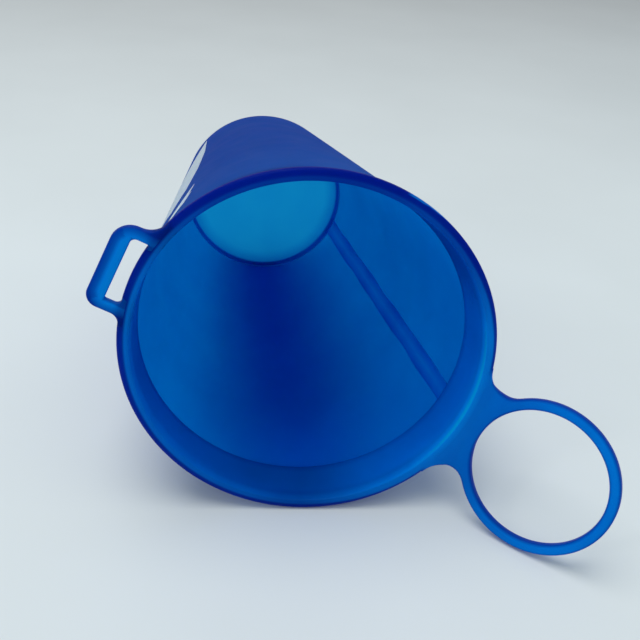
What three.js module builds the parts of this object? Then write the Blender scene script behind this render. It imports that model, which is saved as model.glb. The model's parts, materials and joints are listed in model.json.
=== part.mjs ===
// Soft foldable drinking cup, lying on its side.
//
// Cup frame: the origin is the centre of the rim's front face, +Z points out of the
// mouth and +X points at the finger loop. Part frame: +Z is up and the mouth faces -Y.
// The cup rests on z = 0 with the rim bead, the base edge and the finger loop.
// All lengths are in millimetres.

import * as THREE from 'three';
import { TessellateModifier } from 'three/addons/modifiers/TessellateModifier.js';
import { mergeVertices } from 'three/addons/utils/BufferGeometryUtils.js';

const DEGREE = Math.PI / 180;
const GAP = 0.3; // clearance between pieces that touch
const TURN_STEPS = 72; // facets around the cup

// Cup body
const cupHeight = 98.1;
const baseRadius = 22.2; // outside of the film at the base
const baseShift = 8.1; // the soft cup leans, so its base sits this far towards the strap loop
const rimRadius = 35; // outside of the rim bead, if the rim were round
const rimOvality = 1.009; // the soft rim is this much longer along the loops
const filmThickness = 0.4;

// Rim moulding
const beadHeight = 2.4;
const beadEdge = 1.1; // rounding of the bead's outer edges
const lipEdge = 0.3; // rounding of the mouth's inner edge
const beadOverhang = 1.5; // how far the bead stands out past the film
const skirtDepth = 9.7;
const skirtThickness = 0.6;

// Lap weld along the film
const seamWidth = 4.3;
const seamThickness = 0.4;
const seamAngle = 1.4 * DEGREE;

// Welded base
const baseThickness = 0.5;
const weldHeight = 2.5;
const weldThickness = 0.45;

// Finger loop: a flat ring on a short filleted neck that has taken a set
const loopThickness = 2;
const fingerHoleRadius = 13.3;
const fingerBandWidth = 2.1;
const fingerReach = 52; // cup axis to ring centre, before bending
const fingerFillet = 5;
const bendLength = 3.6;
const bendAngle = 37.4 * DEGREE; // towards the mouth side
const twistAngle = 5.1 * DEGREE;

// Strap loop: a flat bracket opposite the finger loop
const strapReach = 5.8; // rim to the outside of the bar
const strapWidth = 16.6;
const strapCorner = 3.8;
const strapFillet = 2;
const strapBar = 3.3;
const slotWidth = 12.6;
const slotCorner = 0.8;
const strapAngle = 180.9 * DEGREE; // about the cup axis, from the finger loop

// How the cup lies
const loopDrop = 25.5 * DEGREE; // the finger loop points this far below level

// Worked out from the dimensions above
const filmTop = -beadHeight - GAP;
const taper = (rimRadius - beadOverhang - baseRadius) / (filmTop + cupHeight);
const rimLong = rimRadius * rimOvality;
const rimShort = rimRadius / rimOvality;

// The circle that follows the outside of the oval rim where the loops join it
const rootRadius = rimShort ** 2 / rimLong;
const rootCentre = rimLong - rootRadius;

function filmRadius(z) {
  return baseRadius + taper * (z + cupHeight);
}

function arc(x, y, radius, from, to, steps) {
  const points = [];
  for (let i = 0; i <= steps; i++) {
    const angle = from + ((to - from) * i) / steps;
    points.push(new THREE.Vector2(x + radius * Math.cos(angle), y + radius * Math.sin(angle)));
  }
  return points;
}

function withoutRepeats(points) {
  return points.filter((point, i) => point.distanceTo(points.at(i - 1)) > 1e-6);
}

function moveVertices(geometry, move) {
  const position = geometry.attributes.position;
  const point = new THREE.Vector3();
  for (let i = 0; i < position.count; i++) {
    point.fromBufferAttribute(position, i);
    move(point);
    position.setXYZ(i, point.x, point.y, point.z);
  }
}

// The rim is oval, the base is round, and the cup leans a little to the strap side
function settle(geometry) {
  moveVertices(geometry, (point) => {
    const depth = -point.z / cupHeight;
    const stretch = 1 + (rimOvality - 1) * (1 - depth);
    point.x = point.x * stretch - baseShift * depth;
    point.y /= stretch;
  });
}

function lathe(profile) {
  const geometry = new THREE.LatheGeometry(profile, TURN_STEPS);
  geometry.rotateX(Math.PI / 2);
  settle(geometry);
  return geometry;
}

function extrude(outline, holes, thickness) {
  const shape = new THREE.Shape(withoutRepeats(outline));
  shape.holes = holes.map((hole) => new THREE.Path(withoutRepeats(hole)));
  const options = { depth: thickness, bevelEnabled: false, steps: 1 };
  return new THREE.ExtrudeGeometry(shape, options);
}

// Outer bead with a flat front face, and the skirt that the film is welded to
function rimRing() {
  const inset = filmThickness + GAP + skirtThickness;
  const skirtInside = (z) => filmRadius(z) - inset;
  const skirtOutside = (z) => skirtInside(z) + skirtThickness;
  const edgeCentre = rimRadius - beadEdge;
  const profile = [
    new THREE.Vector2(skirtInside(-skirtDepth), -skirtDepth),
    new THREE.Vector2(skirtOutside(-skirtDepth), -skirtDepth),
    new THREE.Vector2(skirtOutside(-beadHeight), -beadHeight),
    ...arc(edgeCentre, beadEdge - beadHeight, beadEdge, -Math.PI / 2, 0, 3),
    ...arc(edgeCentre, -beadEdge, beadEdge, 0, Math.PI / 2, 3),
    ...arc(skirtInside(0) + lipEdge, -lipEdge, lipEdge, Math.PI / 2, Math.PI, 2),
    new THREE.Vector2(skirtInside(-skirtDepth), -skirtDepth),
  ];
  return lathe(profile);
}

// Conical film wall with the thicker strip where its two edges overlap
function wallFilm() {
  const topRadius = filmRadius(filmTop);
  const halfSeam = seamWidth / 2 / topRadius;
  const seamStart = seamAngle - halfSeam;
  const seamEnd = seamAngle + halfSeam;
  const outside = [
    ...arc(0, 0, topRadius + seamThickness, seamStart, seamEnd, 2),
    ...arc(0, 0, topRadius, seamEnd, seamStart + 2 * Math.PI, TURN_STEPS),
  ];
  const inside = arc(0, 0, topRadius - filmThickness, seamEnd, seamEnd + 2 * Math.PI, TURN_STEPS);
  const geometry = extrude(outside, [inside], cupHeight + filmTop);
  geometry.translate(0, 0, -cupHeight);
  moveVertices(geometry, (point) => {
    const radius = Math.hypot(point.x, point.y);
    const narrowed = radius - taper * (filmTop - point.z);
    point.x *= narrowed / radius;
    point.y *= narrowed / radius;
  });
  settle(geometry);
  return geometry;
}

// Round base with an upturned weld flange inside the wall
function baseDisc() {
  const flangeRadius = (z) => filmRadius(z) - filmThickness - GAP;
  const bottom = -cupHeight;
  const weldTop = bottom + weldHeight;
  const floor = bottom + baseThickness;
  const profile = [
    new THREE.Vector2(0, bottom),
    new THREE.Vector2(flangeRadius(bottom), bottom),
    new THREE.Vector2(flangeRadius(weldTop), weldTop),
    new THREE.Vector2(flangeRadius(weldTop) - weldThickness, weldTop),
    new THREE.Vector2(flangeRadius(floor) - weldThickness, floor),
    new THREE.Vector2(0, floor),
  ];
  return lathe(profile);
}

// Twists, then bends, a flat piece whose mid-plane is z = -loopThickness / 2
function bendNeck(geometry) {
  const start = rimLong + GAP;
  const bendRadius = bendLength / bendAngle;
  moveVertices(geometry, (point) => {
    const share = THREE.MathUtils.clamp((point.x - start) / bendLength, 0, 1);
    const past = Math.max(point.x - start - bendLength, 0);
    const before = Math.min(point.x - start, 0);
    const twist = twistAngle * share;
    const bend = bendAngle * share;
    const depth = point.z + loopThickness / 2;
    const height = point.y * Math.sin(twist) + depth * Math.cos(twist);
    point.y = point.y * Math.cos(twist) - depth * Math.sin(twist);
    const along = bendRadius * Math.sin(bend) + past * Math.cos(bend);
    const rise = bendRadius * (1 - Math.cos(bend)) + past * Math.sin(bend);
    point.x = start + before + along - height * Math.sin(bend);
    point.z = rise + height * Math.cos(bend) - loopThickness / 2;
  });
}

// Ring and neck, filleted into the outside of the rim
function fingerLoop() {
  const root = rootRadius + GAP;
  const ring = fingerHoleRadius + fingerBandWidth;
  const span = fingerReach - rootCentre;
  const toRoot = root + fingerFillet;
  const toRing = ring + fingerFillet;
  const filletX = (toRoot ** 2 - toRing ** 2 + span ** 2) / (2 * span);
  const filletY = Math.sqrt(toRoot ** 2 - filletX ** 2);
  const rootAngle = Math.atan2(filletY, filletX);
  const ringAngle = Math.atan2(filletY, filletX - span);
  const x = rootCentre + filletX;
  const outline = [
    ...arc(x, -filletY, fingerFillet, Math.PI - rootAngle, Math.PI - ringAngle, 8),
    ...arc(fingerReach, 0, ring, -ringAngle, ringAngle, 42),
    ...arc(x, filletY, fingerFillet, ringAngle - Math.PI, rootAngle - Math.PI, 8),
    ...arc(rootCentre, 0, root, rootAngle, -rootAngle, 10),
  ];
  const hole = arc(fingerReach, 0, fingerHoleRadius, 0, 2 * Math.PI, 56);
  const flat = extrude(outline, [hole], loopThickness);
  flat.translate(0, 0, -loopThickness);
  flat.deleteAttribute('normal');
  flat.deleteAttribute('uv');
  const geometry = mergeVertices(new TessellateModifier(2, 8).modify(flat), 1e-5);
  bendNeck(geometry);
  return geometry;
}

// Bracket whose slot is closed by the outside of the rim
function strapLoop() {
  const root = rootRadius + GAP;
  const half = strapWidth / 2;
  const end = rimLong + strapReach;
  const slotHalf = slotWidth / 2;
  const slotEnd = end - strapBar;
  const right = Math.PI / 2;

  // Outer fillets stand outside the sides, inner fillets stand inside the slot
  const outerY = half + strapFillet;
  const outerX = Math.sqrt((root + strapFillet) ** 2 - outerY ** 2);
  const outerAngle = Math.atan2(outerY, outerX);
  const innerY = slotHalf - slotCorner;
  const innerX = Math.sqrt((root + slotCorner) ** 2 - innerY ** 2);
  const innerAngle = Math.atan2(innerY, innerX);
  const outer = rootCentre + outerX;
  const inner = rootCentre + innerX;
  const corner = half - strapCorner;

  const outline = [
    ...arc(outer, -outerY, strapFillet, Math.PI - outerAngle, right, 5),
    ...arc(end - strapCorner, -corner, strapCorner, -right, 0, 6),
    ...arc(end - strapCorner, corner, strapCorner, 0, right, 6),
    ...arc(outer, outerY, strapFillet, -right, outerAngle - Math.PI, 5),
    ...arc(rootCentre, 0, root, outerAngle, innerAngle, 3),
    ...arc(inner, innerY, slotCorner, Math.PI + innerAngle, right, 4),
    ...arc(slotEnd - slotCorner, innerY, slotCorner, right, 0, 4),
    ...arc(slotEnd - slotCorner, -innerY, slotCorner, 0, -right, 4),
    ...arc(inner, -innerY, slotCorner, -right, -Math.PI - innerAngle, 4),
    ...arc(rootCentre, 0, root, -innerAngle, -outerAngle, 3),
  ];
  const geometry = extrude(outline, [], loopThickness);
  geometry.translate(0, 0, -loopThickness);
  geometry.rotateZ(strapAngle);
  return geometry;
}

const cup = new THREE.Group();

function addPiece(name, geometry, color, roughness) {
  const material = new THREE.MeshStandardMaterial({ color, roughness, metalness: 0 });
  const mesh = new THREE.Mesh(geometry, material);
  mesh.name = name;
  cup.add(mesh);
}

addPiece('rim_ring', rimRing(), 0x0b3fa8, 0.35);
addPiece('wall_film', wallFilm(), 0x1f55b4, 0.6);
addPiece('base_disc', baseDisc(), 0x157fc0, 0.5);
addPiece('finger_loop', fingerLoop(), 0x0d5cc4, 0.35);
addPiece('strap_loop', strapLoop(), 0x0d55bd, 0.35);

// Lay the cup down: its rim bead and its base edge both touch the ground
const rimDrop = Math.hypot(rimLong * Math.sin(loopDrop), rimShort * Math.cos(loopDrop));
const baseDrop = baseRadius - baseShift * Math.sin(loopDrop);
const edgeRise = rimDrop - beadEdge - baseDrop;
const edgeRun = cupHeight - beadHeight + beadEdge;
const lean = Math.atan2(edgeRise, edgeRun) + Math.asin(beadEdge / Math.hypot(edgeRise, edgeRun));
cup.rotation.set(Math.PI / 2 - lean, 0, -loopDrop);

// Centre the cup over the origin and stand it on z = 0
const extent = new THREE.Box3().setFromObject(cup, true);
const middle = extent.getCenter(new THREE.Vector3());
cup.position.set(-middle.x, -middle.y, -extent.min.z);

const part = new THREE.Group();
part.add(cup);

export default part;
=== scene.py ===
"""Looks of the soft foldable drinking cup, lying on its side.

Cup frame: the origin is the centre of the rim's front face, +Z points out of the
mouth and +X points at the finger loop. Every piece is built there and then placed
in the part frame by to_part().
"""

import json
from math import atan2, cos, degrees, hypot, pi, radians, sin, sqrt

import bmesh
import bpy
from mathutils import Matrix, Vector


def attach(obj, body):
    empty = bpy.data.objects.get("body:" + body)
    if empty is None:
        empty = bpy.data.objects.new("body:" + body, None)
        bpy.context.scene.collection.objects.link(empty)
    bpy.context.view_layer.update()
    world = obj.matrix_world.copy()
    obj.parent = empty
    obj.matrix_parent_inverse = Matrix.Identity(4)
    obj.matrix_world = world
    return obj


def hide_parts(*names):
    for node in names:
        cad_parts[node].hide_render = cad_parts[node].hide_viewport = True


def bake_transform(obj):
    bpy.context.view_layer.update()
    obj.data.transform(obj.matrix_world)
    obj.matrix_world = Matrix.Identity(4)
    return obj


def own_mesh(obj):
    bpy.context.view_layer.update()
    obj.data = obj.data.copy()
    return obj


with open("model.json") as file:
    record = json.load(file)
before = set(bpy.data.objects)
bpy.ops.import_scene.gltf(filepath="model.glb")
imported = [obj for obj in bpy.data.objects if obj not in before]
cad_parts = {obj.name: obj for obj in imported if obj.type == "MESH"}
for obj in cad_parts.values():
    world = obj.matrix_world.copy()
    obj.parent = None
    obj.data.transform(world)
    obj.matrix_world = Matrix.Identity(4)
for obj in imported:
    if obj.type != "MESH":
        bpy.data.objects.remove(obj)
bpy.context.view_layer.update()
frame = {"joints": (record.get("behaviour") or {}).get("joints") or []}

MM = 0.001
TURN_STEPS = 192
SHARP_ANGLE = radians(35)

# Cup body
CUP_HEIGHT = 98.1 * MM
BASE_RADIUS = 22.2 * MM
BASE_SHIFT = 8.1 * MM
RIM_RADIUS = 35 * MM
RIM_OVALITY = 1.009
FILM_THICKNESS = 0.4 * MM
FIT = 0.02 * MM  # between pieces that are welded or moulded together

# Rim moulding
BEAD_HEIGHT = 2.4 * MM
BEAD_EDGE = 1.2 * MM
BEAD_CROWN = 0.75 * MM
LIP_EDGE = 0.5 * MM
BEAD_OVERHANG = 1.5 * MM
SKIRT_DEPTH = 9.7 * MM
SKIRT_THICKNESS = 0.6 * MM
CAD_GAP = 0.3 * MM  # between the solids that the part is made of

# Welds
SEAM_WIDTH = 4.3 * MM
SEAM_ANGLE = radians(1.4)
SEAM_BEAD = 0.35 * MM
SEAM_BEAD_HEIGHT = 0.16 * MM
SEAM_HEIGHT = 0.08 * MM
SEAM_TUCK = 0.3 * MM  # how far the lap weld reaches into the skirt
FILM_ROWS = 48
BASE_THICKNESS = 0.5 * MM
BASE_CORNER = 0.35 * MM
WELD_HEIGHT = 2.5 * MM
WELD_THICKNESS = 0.45 * MM

# Finger loop
LOOP_THICKNESS = 2 * MM
LOOP_EDGE = 0.55 * MM
FINGER_HOLE_RADIUS = 13.3 * MM
FINGER_BAND_WIDTH = 2.1 * MM
FINGER_REACH = 52 * MM
FINGER_FILLET = 5 * MM
FLAT_OVERLAP = 0.4 * MM  # how far the neck's root reaches past the rim's rounded edge
BEND_LENGTH = 3.6 * MM
BEND_ANGLE = radians(37.4)
TWIST_ANGLE = radians(5.1)

# Strap loop
STRAP_REACH = 5.8 * MM
STRAP_WIDTH = 16.6 * MM
STRAP_CORNER = 3.8 * MM
STRAP_LOW_CORNER = 2.5 * MM
STRAP_FILLET = 2 * MM
STRAP_TOP_FILLET = 3.9 * MM
STRAP_BAR = 3.3 * MM
SLOT_WIDTH = 12.6 * MM
SLOT_ROUND_CORNER = 1 * MM
SLOT_SHARP_CORNER = 0.3 * MM
STRAP_ANGLE = radians(180.9)

RIM_LONG = RIM_RADIUS * RIM_OVALITY
RIM_SHORT = RIM_RADIUS / RIM_OVALITY
FILM_TOP = -BEAD_HEIGHT - CAD_GAP
TAPER = (RIM_RADIUS - BEAD_OVERHANG - BASE_RADIUS) / (FILM_TOP + CUP_HEIGHT)
ROOT_RADIUS = RIM_SHORT**2 / RIM_LONG
ROOT_CENTRE = RIM_LONG - ROOT_RADIUS
NECK_START = RIM_LONG + CAD_GAP

# The cup's own axes and origin, from the part's joints
joints = {joint["name"]: joint for joint in frame["joints"]}
mouth_way = Vector(joints["base_collapse"]["axis"])
across_way = Vector(joints["strap_loop_flex"]["axis"])
ring_way = across_way.cross(mouth_way)
neck_hinge = Vector(joints["finger_loop_flex"]["pos_m"])
rim_centre = neck_hinge - ring_way * (NECK_START + BEND_LENGTH / 2) + mouth_way * (LOOP_THICKNESS / 2)
CUP_TURN = Matrix((ring_way, across_way, mouth_way)).transposed()


def to_part(point):
    return rim_centre + CUP_TURN @ Vector(point)


def film_radius(z):
    """Outside of the film wall."""
    return BASE_RADIUS + TAPER * (z + CUP_HEIGHT)


def settled(x, y, z):
    """The rim is oval, the base is round, and the cup leans a little to the strap side."""
    depth = -z / CUP_HEIGHT
    stretch = 1 + (RIM_OVALITY - 1) * (1 - depth)
    return x * stretch - BASE_SHIFT * depth, y / stretch, z


def arc(x, y, radius, start, end, steps):
    """Points from the start angle to the end angle, both included."""
    angles = [start + (end - start) * i / steps for i in range(steps + 1)]
    return [(x + radius * cos(a), y + radius * sin(a)) for a in angles]


def without_repeats(points):
    """A closed outline without points that lie on the one before."""
    pairs = zip([points[-1], *points], points)
    return [(x, y) for (last_x, last_y), (x, y) in pairs if hypot(x - last_x, y - last_y) > 1e-8]


# Mesh building


def add_piece(name, mesh):
    """A mesh object from a bmesh in the cup frame, placed in the part frame."""
    bmesh.ops.recalc_face_normals(mesh, faces=mesh.faces)
    for vertex in mesh.verts:
        vertex.co = to_part(vertex.co)
    for face in mesh.faces:
        face.smooth = True
    data = bpy.data.meshes.new(name)
    mesh.to_mesh(data)
    mesh.free()
    piece = bpy.data.objects.new(name, data)
    bpy.context.scene.collection.objects.link(piece)
    data.set_sharp_from_angle(angle=SHARP_ANGLE)
    return piece


def tone(mesh, brightness):
    """Stores brightness(point) at every vertex, for the materials: painted light and shade on the
    moulding, bracket and wall, and a darker weld ring on the base.
    """
    layer = mesh.verts.layers.float.get("bright") or mesh.verts.layers.float.new("bright")
    for vertex in mesh.verts:
        vertex[layer] = brightness(vertex.co)


def ramp(value, stops):
    """Straight lines through (value, result) stops."""
    if value <= stops[0][0]:
        return stops[0][1]
    for (low, first), (high, second) in zip(stops, stops[1:]):
        if value <= high:
            return first + (second - first) * (value - low) / (high - low)
    return stops[-1][1]


def revolve(profile):
    """A closed (radius, z) profile turned about the cup's axis. It may start and end on the axis."""
    mesh = bmesh.new()
    columns = []
    for step in range(TURN_STEPS):
        angle = 2 * pi * step / TURN_STEPS
        column = []
        for i, (radius, z) in enumerate(profile):
            if radius == 0 and step:
                column.append(columns[0][i])
            else:
                column.append(mesh.verts.new(settled(radius * cos(angle), radius * sin(angle), z)))
        columns.append(column)
    ends_on_axis = profile[0][0] == 0
    count = len(profile) - (1 if ends_on_axis else 0)
    for step in range(TURN_STEPS):
        here = columns[step]
        there = columns[(step + 1) % TURN_STEPS]
        for i in range(count):
            j = (i + 1) % len(profile)
            corners = []
            for vertex in (here[i], there[i], there[j], here[j]):
                if vertex not in corners:
                    corners.append(vertex)
            mesh.faces.new(corners)
    return mesh


def plate(outline, holes, thickness, edge):
    """A flat plate with rounded edges. The outline and holes are where the flat faces end."""
    curve = bpy.data.curves.new("plate", "CURVE")
    curve.dimensions = "2D"
    curve.fill_mode = "BOTH"
    curve.extrude = thickness / 2 - edge
    curve.bevel_depth = edge
    curve.bevel_resolution = 3
    for points in (outline, *holes):
        points = without_repeats(points)
        spline = curve.splines.new("POLY")
        spline.points.add(len(points) - 1)
        for target, (x, y) in zip(spline.points, points):
            target.co = (x, y, 0, 1)
        spline.use_cyclic_u = True
    source = bpy.data.objects.new("plate", curve)
    bpy.context.scene.collection.objects.link(source)
    shaped = source.evaluated_get(bpy.context.evaluated_depsgraph_get())
    mesh = bmesh.new()
    data = bpy.data.meshes.new_from_object(shaped)
    mesh.from_mesh(data)
    bpy.data.meshes.remove(data)
    bpy.data.objects.remove(source)
    bmesh.ops.remove_doubles(mesh, verts=mesh.verts, dist=1e-7)
    bmesh.ops.translate(mesh, verts=mesh.verts, vec=(0, 0, -thickness / 2))
    bmesh.ops.recalc_face_normals(mesh, faces=mesh.faces)
    return mesh


def join(first, second):
    """The solid union of two closed meshes."""
    holders = []
    for mesh in (first, second):
        data = bpy.data.meshes.new("solid")
        mesh.to_mesh(data)
        mesh.free()
        holder = bpy.data.objects.new("solid", data)
        bpy.context.scene.collection.objects.link(holder)
        holders.append(holder)
    union = holders[0].modifiers.new("union", "BOOLEAN")
    union.operation = "UNION"
    union.solver = "EXACT"
    union.object = holders[1]
    joined = holders[0].evaluated_get(bpy.context.evaluated_depsgraph_get())
    mesh = bmesh.new()
    mesh.from_mesh(joined.to_mesh())
    for holder in holders:
        bpy.data.objects.remove(holder)
    return mesh


# Outlines of the loops, in the plane of the rim's front face


def neck_fillet():
    """Centre of the fillet between rim and ring, measured from the centre of the rim's curve."""
    span = FINGER_REACH - ROOT_CENTRE
    to_root = ROOT_RADIUS + FINGER_FILLET
    to_ring = FINGER_HOLE_RADIUS + FINGER_BAND_WIDTH + FINGER_FILLET
    x = (to_root**2 - to_ring**2 + span**2) / (2 * span)
    return x, sqrt(to_root**2 - x**2)


def finger_outline(inset):
    """Neck and ring, rooted on the rim's flat face. The inset leaves room for the rounded edge."""
    root = ROOT_RADIUS - BEAD_EDGE - FLAT_OVERLAP
    ring = FINGER_HOLE_RADIUS + FINGER_BAND_WIDTH - inset
    fillet = FINGER_FILLET + inset
    span = FINGER_REACH - ROOT_CENTRE
    fillet_x, fillet_y = neck_fillet()
    root_angle = atan2(fillet_y, fillet_x)
    ring_angle = atan2(fillet_y, fillet_x - span)
    x = ROOT_CENTRE + fillet_x
    return [
        *arc(x, -fillet_y, fillet, pi - root_angle, pi - ring_angle, 20),
        *arc(FINGER_REACH, 0, ring, -ring_angle, ring_angle, 120),
        *arc(x, fillet_y, fillet, ring_angle - pi, root_angle - pi, 20),
        *arc(ROOT_CENTRE, 0, root, root_angle, -root_angle, 24),
    ]


def strap_outline(inset):
    """Bracket that points along +X, open towards the rim. Opposite corners of its slot are alike.

    Its -Y side is the upper one once it is turned onto the cup.
    """
    half = STRAP_WIDTH / 2
    end = RIM_LONG + STRAP_REACH
    slot_end = end - STRAP_BAR
    upper = half - STRAP_CORNER
    lower = half - STRAP_LOW_CORNER
    buried = ROOT_RADIUS - BEAD_OVERHANG / 2

    def root_fillet(radius, y):
        """Where a fillet centred at this y touches the rim: its centre's x and its angle."""
        x = sqrt((ROOT_RADIUS + radius) ** 2 - y**2)
        return ROOT_CENTRE + x, atan2(y, x)

    top_y = half + STRAP_TOP_FILLET
    top_x, top_angle = root_fillet(STRAP_TOP_FILLET, top_y)
    low_y = half + STRAP_FILLET
    low_x, low_angle = root_fillet(STRAP_FILLET, low_y)
    sharp_y = SLOT_WIDTH / 2 - SLOT_SHARP_CORNER
    round_y = SLOT_WIDTH / 2 - SLOT_ROUND_CORNER
    sharp_x, sharp_angle = root_fillet(SLOT_SHARP_CORNER, sharp_y)
    round_x, round_angle = root_fillet(SLOT_ROUND_CORNER, round_y)
    sharp = SLOT_SHARP_CORNER + inset
    rounded = SLOT_ROUND_CORNER + inset
    return [
        *arc(top_x, -top_y, STRAP_TOP_FILLET + inset, pi - top_angle, pi / 2, 12),
        *arc(end - STRAP_CORNER, -upper, STRAP_CORNER - inset, -pi / 2, 0, 12),
        *arc(end - STRAP_LOW_CORNER, lower, STRAP_LOW_CORNER - inset, 0, pi / 2, 12),
        *arc(low_x, low_y, STRAP_FILLET + inset, -pi / 2, low_angle - pi, 8),
        *arc(ROOT_CENTRE, 0, buried, low_angle, round_angle, 3),
        *arc(round_x, round_y, rounded, pi + round_angle, pi / 2, 8),
        *arc(slot_end - SLOT_SHARP_CORNER, sharp_y, sharp, pi / 2, 0, 8),
        *arc(slot_end - SLOT_ROUND_CORNER, -round_y, rounded, 0, -pi / 2, 8),
        *arc(sharp_x, -sharp_y, sharp, -pi / 2, -pi - sharp_angle, 8),
        *arc(ROOT_CENTRE, 0, buried, -sharp_angle, -top_angle, 3),
    ]


def bent(point):
    """Where a point of the flat finger loop goes when its neck is twisted and bent."""
    share = min(max((point.x - NECK_START) / BEND_LENGTH, 0), 1)
    past = max(point.x - NECK_START - BEND_LENGTH, 0)
    before = min(point.x - NECK_START, 0)
    twist = TWIST_ANGLE * share
    bend = BEND_ANGLE * share
    radius = BEND_LENGTH / BEND_ANGLE
    depth = point.z + LOOP_THICKNESS / 2
    height = point.y * sin(twist) + depth * cos(twist)
    along = radius * sin(bend) + past * cos(bend)
    rise = radius * (1 - cos(bend)) + past * sin(bend)
    return Vector((
        NECK_START + before + along - height * sin(bend),
        point.y * cos(twist) - depth * sin(twist),
        rise + height * cos(bend) - LOOP_THICKNESS / 2,
    ))


# Pieces


def rim_profile():
    inset = FILM_THICKNESS + FIT + SKIRT_THICKNESS

    def skirt_inside(z):
        return film_radius(z) - inset

    def skirt_outside(z):
        return skirt_inside(z) + SKIRT_THICKNESS

    half = SKIRT_THICKNESS / 2
    edge = RIM_RADIUS - BEAD_EDGE
    lip = skirt_inside(0) + LIP_EDGE
    crown = [(x, z * BEAD_CROWN / BEAD_EDGE) for x, z in arc(edge, -BEAD_EDGE, BEAD_EDGE, 0, pi / 2, 8)]
    front = [(edge + (lip - edge) * i / 6, 0) for i in range(1, 6)]
    inside = [(skirt_inside(-depth), -depth) for depth in (i * MM for i in range(1, 9))]
    return [
        *arc(skirt_inside(-SKIRT_DEPTH) + half, half - SKIRT_DEPTH, half, pi, 2 * pi, 6),
        (skirt_outside(-BEAD_HEIGHT), -BEAD_HEIGHT),
        *arc(edge, BEAD_EDGE - BEAD_HEIGHT, BEAD_EDGE, -pi / 2, 0, 8),
        *crown,
        *front,
        *arc(lip, -LIP_EDGE, LIP_EDGE, pi / 2, pi, 6),
        *inside,
    ]


def cut_grid(mesh, axis, start, end, step):
    """Cuts the mesh along evenly spaced planes, so that it can bend and carry its tones."""
    normal = Vector((0, 0, 0))
    normal[axis] = 1
    count = round((end - start) / step)
    for cut in range(count + 1):
        geometry = mesh.verts[:] + mesh.edges[:] + mesh.faces[:]
        place = normal * (start + (end - start) * cut / count)
        bmesh.ops.bisect_plane(mesh, geom=geometry, plane_co=place, plane_no=normal)


def rim_painted_light(point):
    """Painted light and shade on the rim: painted shade on the rounded edge, a bright flat face, a painted
    highlight on the lip, and a skirt that darkens towards its end.

    The painted light is brightest beside the finger loop and darkest at the rim's top.
    """
    radius = hypot(point.x / RIM_OVALITY, point.y * RIM_OVALITY)
    angle = degrees(atan2(point.y, point.x))
    # Painted light round the rim, by angle: darkest at its top, brightest beside the finger loop.
    painted_light_around = ramp(angle, [
        (-180, 0.75), (-150, 0.7), (-100, 0.55), (-65, 0.32), (-40, 0.65), (-15, 0.85),
        (35, 0.9), (60, 0.35), (110, 0.14), (150, 0.25), (180, 0.75),
    ])
    if point.z < -BEAD_HEIGHT:
        # Painted shade that darkens the skirt towards its end.
        from_end = SKIRT_DEPTH + point.z
        depth = ramp(from_end, [(0, 0.15), (0.3 * MM, 0.65), (1 * MM, 0.85)])
        return depth * ramp(painted_light_around, [(0.14, 0.3), (0.45, 0.47), (0.75, 0.83), (0.9, 0.95)])
    # Width of the painted shade on the rounded outer edge.
    edge = ramp(point.x / RIM_RADIUS, [(0.5, 1.1 * MM), (0.85, 0.65 * MM)])
    lip = RIM_RADIUS - BEAD_OVERHANG - SKIRT_THICKNESS - FILM_THICKNESS
    # Painted highlight on the lip, strongest beside the finger loop.
    shine = ramp(angle, [(-45, 0.2), (-15, 0.45), (0, 0.9), (20, 0.9), (40, 0.3)])
    face = ramp(radius, [
        (lip + 0.05 * MM, 0.8),
        (lip + 0.15 * MM, 0.95 + shine),
        (lip + 0.35 * MM, 0.95 + shine),
        (lip + 0.5 * MM, 0.95),
        (RIM_RADIUS - edge - 0.3 * MM, 0.95),
        (RIM_RADIUS - edge, 0.1),
        (RIM_RADIUS, 0),
    ])
    return face * painted_light_around


def moulding_painted_light(point):
    """The rim's painted light and shade, and painted shade on the rounded edge round the neck and the
    ring.
    """
    root_painted_light = 0.62
    fillet_x, fillet_y = neck_fillet()
    from_root = hypot(point.x - ROOT_CENTRE, point.y) - ROOT_RADIUS
    from_hole = hypot(point.x - FINGER_REACH, point.y) - FINGER_HOLE_RADIUS
    from_fillet = hypot(point.x - ROOT_CENTRE - fillet_x, abs(point.y) - fillet_y) - FINGER_FILLET
    ring_radius = FINGER_HOLE_RADIUS + FINGER_BAND_WIDTH
    to_fillet = FINGER_REACH - ROOT_CENTRE - fillet_x
    neck_end = FINGER_REACH - to_fillet * ring_radius / (ring_radius + FINGER_FILLET)
    from_outside = from_fillet if point.x < neck_end else FINGER_BAND_WIDTH - from_hole
    if point.x < 0:
        return rim_painted_light(point)
    if from_root > CAD_GAP:
        # Painted light along the neck and ring, with painted shade at their rounded edges.
        middle = ramp(from_root, [(0, root_painted_light), (5 * MM, 0.58), (18 * MM, 0.88)])
        return middle * ramp(min(from_hole, from_outside), [(0, 0.15), (0.25 * MM, 0.55), (0.6 * MM, 1)])
    # Where the neck meets the rim, the rim's painted light blends into the neck's.
    half_neck = fillet_y * ROOT_RADIUS / (ROOT_RADIUS + FINGER_FILLET)
    along = ramp(from_root, [(-1.8 * MM, 0), (-0.6 * MM, 1)])
    across = ramp(abs(point.y), [(half_neck - 1.2 * MM, 1), (half_neck + 0.6 * MM, 0)])
    neck = along * across
    return rim_painted_light(point) * (1 - neck) + root_painted_light * neck


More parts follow.
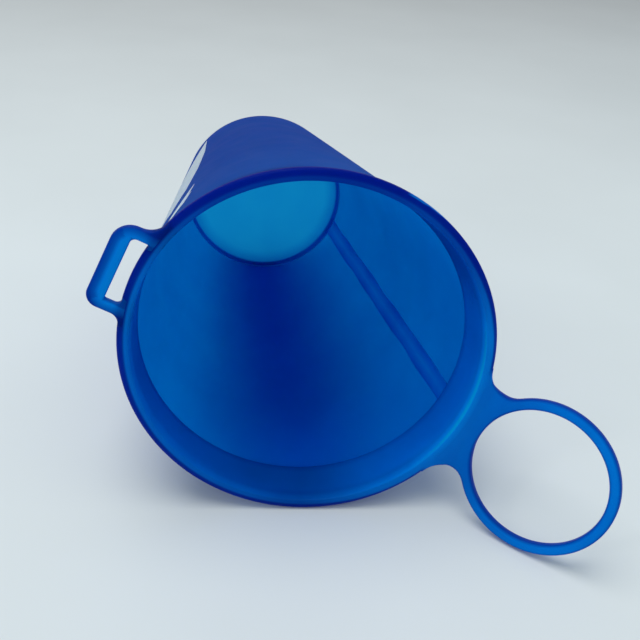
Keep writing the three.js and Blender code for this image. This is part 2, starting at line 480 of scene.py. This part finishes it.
def make_moulding():
    """Rim, skirt, neck and finger ring in one moulding."""
    rim = revolve(without_repeats(rim_profile()))
    bmesh.ops.recalc_face_normals(rim, faces=rim.faces)
    hole = arc(FINGER_REACH, 0, FINGER_HOLE_RADIUS + LOOP_EDGE, 0, 2 * pi, 144)
    loop = plate(finger_outline(LOOP_EDGE), [hole], LOOP_THICKNESS, LOOP_EDGE)
    mesh = join(rim, loop)
    cut_grid(mesh, 0, NECK_START - 2 * MM, NECK_START + BEND_LENGTH + 1.2 * MM, 0.2 * MM)
    neck_width = neck_fillet()[1]
    cut_grid(mesh, 1, -neck_width, neck_width, 0.6 * MM)
    tone(mesh, moulding_painted_light)
    for vertex in mesh.verts:
        if vertex.co.x > NECK_START:
            vertex.co = bent(vertex.co)
    return add_piece("rim_moulding", mesh)


def bracket_painted_light(point):
    """Painted shade on the strap bracket: a dark outer band, deepest at the far end, and a bright middle
    that darkens to slot and rim.
    """
    from_end = RIM_LONG + STRAP_REACH - point.x
    from_side = STRAP_WIDTH / 2 - abs(point.y)
    from_root = hypot(point.x - ROOT_CENTRE, point.y) - ROOT_RADIUS
    from_corner = STRAP_CORNER - hypot(STRAP_CORNER - from_end, STRAP_CORNER - from_side)
    in_corner = max(from_end, from_side) < STRAP_CORNER
    from_edge = max(from_corner, 0) if in_corner else min(from_side, from_end)
    outer = 0.45 if from_end < from_side else 0.8
    # Painted shade along the bracket's edges, slot and root.
    band = ramp(from_edge, [(0, 0.1), (0.4 * MM, outer / 2), (1.2 * MM, outer), (1.9 * MM, 1.1)])
    from_slot = max(abs(point.y) - SLOT_WIDTH / 2, STRAP_BAR - from_end)
    slot_edge = ramp(from_slot, [(0, 0.45), (0.25 * MM, 1)])
    return band * slot_edge * ramp(from_root, [(0, 0.5), (1.3 * MM, 1)])


def make_strap_bracket():
    mesh = plate(strap_outline(LOOP_EDGE), [], LOOP_THICKNESS, LOOP_EDGE)
    cut_grid(mesh, 0, NECK_START - 2 * MM, RIM_LONG + STRAP_REACH, 0.4 * MM)
    cut_grid(mesh, 1, -STRAP_WIDTH / 2, STRAP_WIDTH / 2, 0.5 * MM)
    tone(mesh, bracket_painted_light)
    bmesh.ops.rotate(mesh, verts=mesh.verts, cent=(0, 0, 0), matrix=Matrix.Rotation(STRAP_ANGLE, 3, "Z"))
    return add_piece("strap_bracket", mesh)


def make_wall():
    """Film cone. Its outside takes the first material and its inside the second."""
    levels = [-CUP_HEIGHT + (FILM_TOP + CUP_HEIGHT) * i / FILM_ROWS for i in range(FILM_ROWS + 1)]
    outside = [(film_radius(z), z) for z in levels]
    inside = [(film_radius(z) - FILM_THICKNESS, z) for z in reversed(levels)]
    mesh = revolve(outside + inside)
    faces_per_step = len(outside) + len(inside)
    for i, face in enumerate(mesh.faces):
        face.material_index = 1 if i % faces_per_step > FILM_ROWS else 0

    # Painted light and shade on the wall: darker behind the skirt, brighter towards -Y and darker towards
    # -X, as the light falls.
    def film_painted_light(point):
        along = ramp(-point.z, [(SKIRT_DEPTH, 0.7), (SKIRT_DEPTH + 1 * MM, 0.9), (CUP_HEIGHT, 1)])
        upward = ramp(point.y / RIM_RADIUS, [(-0.8, 1.3), (-0.2, 1.05), (0.5, 0.85)])
        sideways = ramp(point.x / RIM_RADIUS, [(-0.8, 0.75), (0.2, 1)])
        return along * upward * sideways

    tone(mesh, film_painted_light)
    return add_piece("film_wall", mesh)


def make_seam():
    """Lap weld inside the wall: a second layer of film, with squeezed-out film along its edges."""
    half = SEAM_WIDTH / 2
    buried = -0.05 * MM
    bottom = -CUP_HEIGHT + BASE_THICKNESS
    top = -SKIRT_DEPTH + SEAM_TUCK
    one_side = [
        (half - SEAM_BEAD, SEAM_HEIGHT + 0.02 * MM),
        (half - 0.1 * MM, SEAM_BEAD_HEIGHT),
        (half, 0.02 * MM),
    ]
    other_side = [(-across, height) for across, height in reversed(one_side)]
    section = [*other_side, (0, SEAM_HEIGHT), *one_side]
    section += [(across, buried) for across, height in reversed(section)]
    tones = [(half - 2 * SEAM_BEAD, 1), (half - SEAM_BEAD / 2, 0.25)]
    mesh = bmesh.new()
    layer = mesh.verts.layers.float.new("bright")
    columns = []
    for row in range(FILM_ROWS + 1):
        z = bottom + (top - bottom) * row / FILM_ROWS
        radius = film_radius(z) - FILM_THICKNESS
        wave = 0.05 * MM * sin(row * 0.9) + 0.07 * MM * sin(row * 0.37 + 1)
        wider = 1 + 0.05 * sin(row * 0.6 + 2)
        column = []
        for across, height in section:
            angle = SEAM_ANGLE + (across * wider + wave) / radius
            inward = radius - height
            vertex = mesh.verts.new(settled(inward * cos(angle), inward * sin(angle), z))
            vertex[layer] = ramp(abs(across * wider), tones)
            column.append(vertex)
        columns.append(column)
    count = len(columns[0])
    for here, there in zip(columns, columns[1:]):
        for i in range(count):
            j = (i + 1) % count
            mesh.faces.new((here[i], here[j], there[j], there[i]))
    mesh.faces.new(columns[0])
    mesh.faces.new(columns[-1])
    return add_piece("wall_seam", mesh)


def make_base():
    """Round film with an upturned flange that is welded to the wall."""

    def flange(z):
        return film_radius(z) - FILM_THICKNESS - FIT

    bottom = -CUP_HEIGHT
    weld_top = bottom + WELD_HEIGHT
    floor = bottom + BASE_THICKNESS
    flange_in = flange(floor) - WELD_THICKNESS
    half_weld = WELD_THICKNESS / 2
    disc = [(flange_in * i / 6, floor) for i in range(6)]
    under = [(flange(bottom) * (5 - i) / 6, bottom) for i in range(6)]
    profile = [
        *disc,
        *arc(flange_in - BASE_CORNER, floor + BASE_CORNER, BASE_CORNER, -pi / 2, 0, 4),
        *arc(flange(weld_top) - half_weld, weld_top - half_weld, half_weld, pi, 0, 6),
        *arc(flange(bottom) - BASE_CORNER, bottom + BASE_CORNER, BASE_CORNER, 0, -pi / 2, 4),
        *under,
    ]
    mesh = revolve(profile)
    middle = settled(0, 0, bottom)

    def disc_tone(point):
        from_flange = hypot(point.x - middle[0], point.y - middle[1]) - flange_in
        return ramp(from_flange, [(-0.6 * MM, 1), (-0.2 * MM, 0.3), (0.2 * MM, 0.6)])

    tone(mesh, disc_tone)
    return add_piece("base_film", mesh)


def make_print():
    """Generic white print on the film: a tall leaf, then slanted strokes towards the rim.

    A shape is where it starts and ends along the cup in millimetres, then its stops:
    the share of the way, and the two angles in degrees between which it lies there.
    """
    rows = 40
    columns = 8
    ink_height = 0.03 * MM
    shapes = [
        (-93, -24, [(0, 162, 163), (0.3, 159.5, 173), (0.6, 160.5, 186), (0.85, 164, 190), (1, 170, 188)]),
        (-31, -16, [(0, 158.5, 159), (0.5, 160.5, 163.5), (1, 165, 169)]),
        (-25, -13, [(0, 159, 159.5), (0.5, 161.5, 165), (1, 168.5, 172)]),
    ]
    mesh = bmesh.new()
    for start, end, stops in shapes:
        lines = []
        for row in range(rows + 1):
            share = row / rows
            z = (start + (end - start) * share) * MM
            first = ramp(share, [(at, low) for at, low, high in stops])
            last = ramp(share, [(at, high) for at, low, high in stops])
            radius = film_radius(z) + ink_height
            line = []
            for column in range(columns + 1):
                angle = radians(first + (last - first) * column / columns)
                line.append(mesh.verts.new(settled(radius * cos(angle), radius * sin(angle), z)))
            lines.append(line)
        for here, there in zip(lines, lines[1:]):
            for i in range(columns):
                mesh.faces.new((here[i], here[i + 1], there[i + 1], there[i]))
    return add_piece("white_print", mesh)


# Materials


def new_material(name):
    material = bpy.data.materials.new(name)
    material.use_nodes = True
    material.node_tree.nodes.clear()
    return material


def add_node(material, kind, **values):
    node = material.node_tree.nodes.new(kind)
    for key, value in values.items():
        if hasattr(node, key):
            setattr(node, key, value)
        else:
            node.inputs[key.replace("_", " ")].default_value = value
    return node


def link(material, source, target):
    material.node_tree.links.new(source, target)


def vary(material, center, spread, scale, detail=3):
    """A value that wanders about center over the surface."""
    place = add_node(material, "ShaderNodeTexCoord")
    noise = add_node(material, "ShaderNodeTexNoise")
    noise.inputs["Scale"].default_value = scale
    noise.inputs["Detail"].default_value = detail
    spread_out = add_node(material, "ShaderNodeMapRange")
    spread_out.inputs["From Min"].default_value = 0.3
    spread_out.inputs["From Max"].default_value = 0.7
    spread_out.inputs["To Min"].default_value = center - spread
    spread_out.inputs["To Max"].default_value = center + spread
    link(material, place.outputs["Object"], noise.inputs["Vector"])
    link(material, noise.outputs["Fac"], spread_out.inputs["Value"])
    return spread_out.outputs["Result"]


def two_tones(material, deep, bright, fac):
    """A color between deep and bright, or past them where fac leaves 0 to 1."""
    mix = add_node(material, "ShaderNodeMix", data_type="RGBA", clamp_factor=False, clamp_result=True)
    mix.inputs[6].default_value = (*deep, 1)
    mix.inputs[7].default_value = (*bright, 1)
    link(material, fac, mix.inputs[0])
    return mix.outputs[2]


def tpu(name, skin, glow, clear, roughness, grain, grain_size, shine):
    """Plastic that reflects its skin tones and lets light through in its glow tones.

    Each is a (deep, bright) pair. The mesh attribute "bright" says where the plastic is which: painted
    light and shade on the moulding, bracket and wall, darker weld lines on the seam and base.
    """
    material = new_material(name)
    surface = add_node(material, "ShaderNodeBsdfPrincipled")
    surface.inputs["IOR"].default_value = 1.5
    surface.inputs["Specular IOR Level"].default_value = shine
    surface.inputs["Specular Tint"].default_value = (0.25, 0.5, 1, 1)
    through = add_node(material, "ShaderNodeBsdfTranslucent")
    painted = add_node(material, "ShaderNodeAttribute", attribute_name="bright")
    wander = add_node(material, "ShaderNodeMath", operation="MULTIPLY")
    link(material, painted.outputs["Fac"], wander.inputs[0])
    link(material, vary(material, 1, 0.08, 90), wander.inputs[1])
    link(material, two_tones(material, *skin, wander.outputs["Value"]), surface.inputs["Base Color"])
    link(material, two_tones(material, *glow, wander.outputs["Value"]), through.inputs["Color"])
    link(material, vary(material, roughness, 0.07, 160, 5), surface.inputs["Roughness"])
    bump = add_node(material, "ShaderNodeBump")
    bump.inputs["Strength"].default_value = grain
    bump.inputs["Distance"].default_value = 0.1 * MM
    link(material, vary(material, 0.5, 0.5, 1 / grain_size, 4), bump.inputs["Height"])
    link(material, bump.outputs["Normal"], surface.inputs["Normal"])
    mix = add_node(material, "ShaderNodeMixShader")
    mix.inputs["Fac"].default_value = clear
    link(material, surface.outputs["BSDF"], mix.inputs[1])
    link(material, through.outputs["BSDF"], mix.inputs[2])
    output = add_node(material, "ShaderNodeOutputMaterial")
    link(material, mix.outputs["Shader"], output.inputs["Surface"])
    return material


def ink(name, worn, full):
    """Worn screen print, thin enough in places for the film to show through."""
    material = new_material(name)
    surface = add_node(material, "ShaderNodeBsdfPrincipled")
    cover = vary(material, 0.85, 0.3, 700, 6)
    link(material, two_tones(material, worn, full, cover), surface.inputs["Base Color"])
    link(material, vary(material, 0.6, 0.12, 300), surface.inputs["Roughness"])
    bump = add_node(material, "ShaderNodeBump")
    bump.inputs["Strength"].default_value = 0.3
    bump.inputs["Distance"].default_value = 0.03 * MM
    link(material, vary(material, 0.5, 0.5, 2500, 4), bump.inputs["Height"])
    link(material, bump.outputs["Normal"], surface.inputs["Normal"])
    through = add_node(material, "ShaderNodeBsdfTranslucent")
    through.inputs["Color"].default_value = (0.9, 0.97, 1, 1)
    mix = add_node(material, "ShaderNodeMixShader")
    mix.inputs["Fac"].default_value = 0.4
    link(material, surface.outputs["BSDF"], mix.inputs[1])
    link(material, through.outputs["BSDF"], mix.inputs[2])
    output = add_node(material, "ShaderNodeOutputMaterial")
    link(material, mix.outputs["Shader"], output.inputs["Surface"])
    return material


# Stage


def make_floor():
    """Pale board, with painted shade that makes it a little darker towards the back."""
    mesh = bmesh.new()
    bmesh.ops.create_grid(mesh, x_segments=1, y_segments=1, size=3)
    data = bpy.data.meshes.new("floor")
    mesh.to_mesh(data)
    mesh.free()
    floor = bpy.data.objects.new("floor", data)
    bpy.context.scene.collection.objects.link(floor)
    material = new_material("pale_floor")
    surface = add_node(material, "ShaderNodeBsdfPrincipled")
    place = add_node(material, "ShaderNodeTexCoord")
    split = add_node(material, "ShaderNodeSeparateXYZ")
    # Painted shade: the floor's colour darkens towards the back, where less light falls.
    back = add_node(material, "ShaderNodeMapRange")
    back.inputs["From Min"].default_value = 0.05
    back.inputs["From Max"].default_value = 0.5
    link(material, place.outputs["Object"], split.inputs["Vector"])
    link(material, split.outputs["Y"], back.inputs["Value"])
    tones = two_tones(material, (0.71, 0.755, 0.77), (0.50, 0.50, 0.50), back.outputs["Result"])
    cloud = add_node(material, "ShaderNodeMix", data_type="RGBA", blend_type="MULTIPLY")
    cloud.inputs[0].default_value = 1
    link(material, tones, cloud.inputs[6])
    link(material, vary(material, 0.98, 0.02, 14), cloud.inputs[7])
    link(material, cloud.outputs[2], surface.inputs["Base Color"])
    surface.inputs["Roughness"].default_value = 0.7
    surface.inputs["Specular IOR Level"].default_value = 0.2
    output = add_node(material, "ShaderNodeOutputMaterial")
    link(material, surface.outputs["BSDF"], output.inputs["Surface"])
    data.materials.append(material)


def add_softbox(name, place, aim, size, power, color):
    light = bpy.data.lights.new(name, "AREA")
    light.shape = "DISK"
    light.size = size
    light.energy = power
    light.color = color
    lamp = bpy.data.objects.new(name, light)
    lamp.location = place
    lamp.rotation_euler = (Vector(aim) - Vector(place)).to_track_quat("-Z", "Y").to_euler()
    bpy.context.scene.collection.objects.link(lamp)


def make_lights():
    add_softbox("window", (-0.16, 0.04, 0.98), (0, 0, 0), 0.8, 5.9, (1, 0.97, 0.93))
    add_softbox("side", (-0.77, -0.45, 0.47), (0, 0, 0), 0.14, 0.5, (1, 1, 1))
    world = bpy.data.worlds.new("studio")
    world.use_nodes = True
    world.node_tree.nodes["Background"].inputs["Color"].default_value = (0.8, 0.93, 1, 1)
    world.node_tree.nodes["Background"].inputs["Strength"].default_value = 0.56
    bpy.context.scene.world = world


def make_camera():
    """Stands in front of the mouth, a little to its left, and looks down into the cup."""
    stand = rim_centre + Vector((-13.09, -118.68, 86.91)) * MM
    turn = radians(6.82)
    pitch = radians(33.47)
    roll = radians(5.19)
    forward = Vector((sin(turn) * cos(pitch), cos(turn) * cos(pitch), -sin(pitch)))
    level = Vector((cos(turn), -sin(turn), 0))
    upright = level.cross(forward)
    right = level * cos(roll) + upright * sin(roll)
    up = upright * cos(roll) - level * sin(roll)
    data = bpy.data.cameras.new("camera")
    data.sensor_width = 36
    data.lens = 45
    data.clip_start = 0.01
    camera = bpy.data.objects.new("camera", data)
    camera.matrix_world = Matrix.Translation(stand) @ Matrix((right, up, -forward)).transposed().to_4x4()
    bpy.context.scene.collection.objects.link(camera)
    bpy.context.scene.camera = camera


make_camera()
make_floor()
make_lights()

# The deep and bright tones below are mixed by the mesh attribute "bright": on the moulding, bracket and
# wall that is painted light and shade, on the seam and base darker weld lines.
moulded = tpu(
    "moulded_tpu",
    skin=((0, 0.008, 0.2), (0, 0.3, 1)),
    glow=((0, 0.12, 0.75), (0, 0.72, 1)),
    clear=0.5, roughness=0.3, grain=0.1, grain_size=0.5 * MM, shine=0.1,
)
frosted = tpu(
    "frosted_film",
    skin=((0.01, 0.05, 0.2), (0.03, 0.105, 0.29)),
    glow=((0, 0.25, 0.7), (0.012, 0.57, 0.84)),
    clear=0.68, roughness=0.55, grain=0.12, grain_size=0.25 * MM, shine=0.25,
)
film = tpu(
    "film_tpu",
    skin=((0, 0.03, 0.3), (0, 0.18, 1)),
    glow=((0, 0.25, 0.75), (0, 0.5, 0.95)),
    clear=0.72, roughness=0.45, grain=0.08, grain_size=0.3 * MM, shine=0.15,
)
welded = tpu(
    "seam_tpu",
    skin=((0, 0.05, 0.4), (0, 0.2, 0.85)),
    glow=((0, 0.5, 0.9), (0, 0.95, 1)),
    clear=0.88, roughness=0.4, grain=0.1, grain_size=0.4 * MM, shine=0.15,
)
clear_film = tpu(
    "base_tpu",
    skin=((0, 0.06, 0.4), (0.01, 0.18, 0.55)),
    glow=((0, 0.35, 0.8), (0.08, 0.66, 0.95)),
    clear=0.85, roughness=0.4, grain=0.08, grain_size=0.3 * MM, shine=0.15,
)
white_ink = ink("white_ink", worn=(0.5, 0.65, 0.8), full=(0.84, 0.96, 0.95))

moulding = make_moulding()
moulding.data.materials.append(moulded)
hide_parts("rim_ring", "finger_loop")
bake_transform(moulding)

bracket = make_strap_bracket()
bracket.data.materials.append(moulded)
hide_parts("strap_loop")
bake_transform(bracket)

wall = make_wall()
wall.data.materials.append(frosted)
wall.data.materials.append(film)
seam = make_seam()
seam.data.materials.append(welded)
marks = make_print()
marks.data.materials.append(white_ink)
for piece in (wall, seam, marks):
    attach(piece, "cup_body")
    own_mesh(piece)
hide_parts("wall_film")

base = make_base()
base.data.materials.append(clear_film)
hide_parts("base_disc")
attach(base, "base")

bpy.context.scene.view_settings.view_transform = "Standard"
